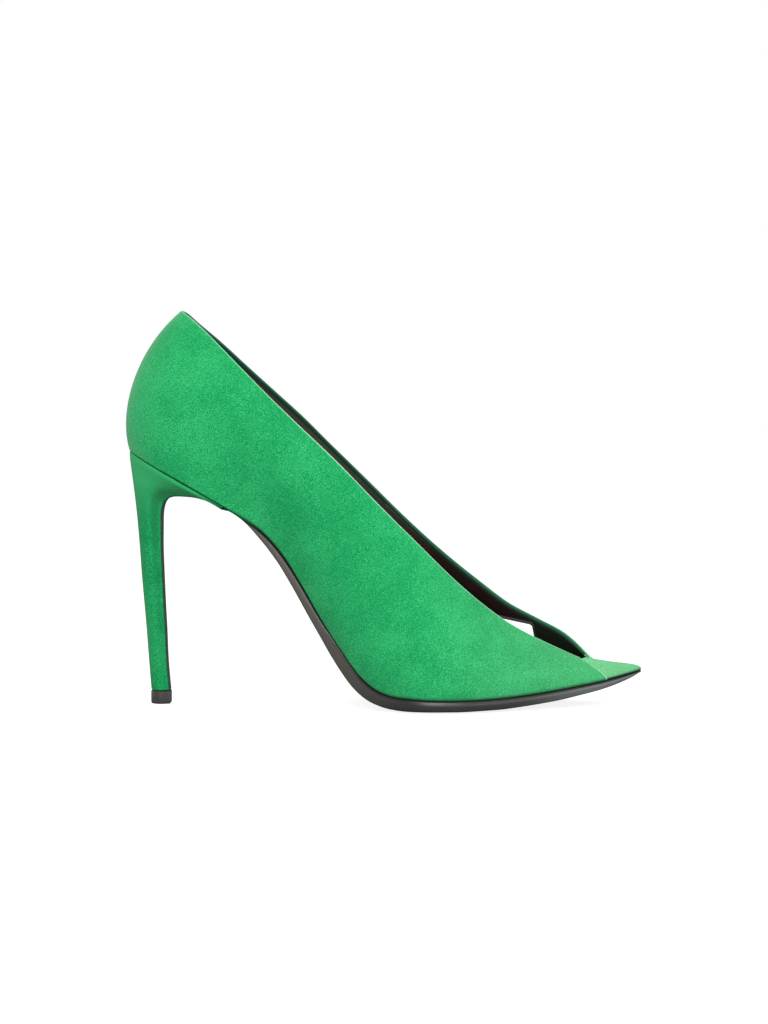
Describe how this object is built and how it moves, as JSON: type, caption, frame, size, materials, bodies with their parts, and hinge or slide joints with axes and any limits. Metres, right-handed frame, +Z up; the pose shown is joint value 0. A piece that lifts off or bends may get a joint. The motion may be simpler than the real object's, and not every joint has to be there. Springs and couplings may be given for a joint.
{
  "type": "stiletto pump shoe",
  "caption": "Woman's right stiletto pump in suede: closed pointed toe cap under two crossing wings, a long V throat, a cut-out beside the toes, a covered heel and a dark leather sole.",
  "frame": {"origin": "centre of the shoe's bounding box in X and Y, on the floor that it stands on", "axes": "+X towards the toe, +Z up, +Y towards the medial side (the side with the cut-out), -Y towards the lateral side"},
  "size_m": [0.2167, 0.0751, 0.1656],
  "materials": {
    "upper_suede": "green suede with a fine mottled nap, no shine",
    "insole_leather": "smooth dark brown lining leather, low sheen",
    "sole_leather": "black finished sole leather, satin edge",
    "heel_suede": "green suede stretched over the heel, fine nap",
    "top_piece_rubber": "matt black"
  },
  "bodies": {
    "root": {"upper": "upper_suede", "insole": "insole_leather", "outsole": "sole_leather", "heel": "heel_suede", "top_piece": "top_piece_rubber"}
  },
  "joints": []
}
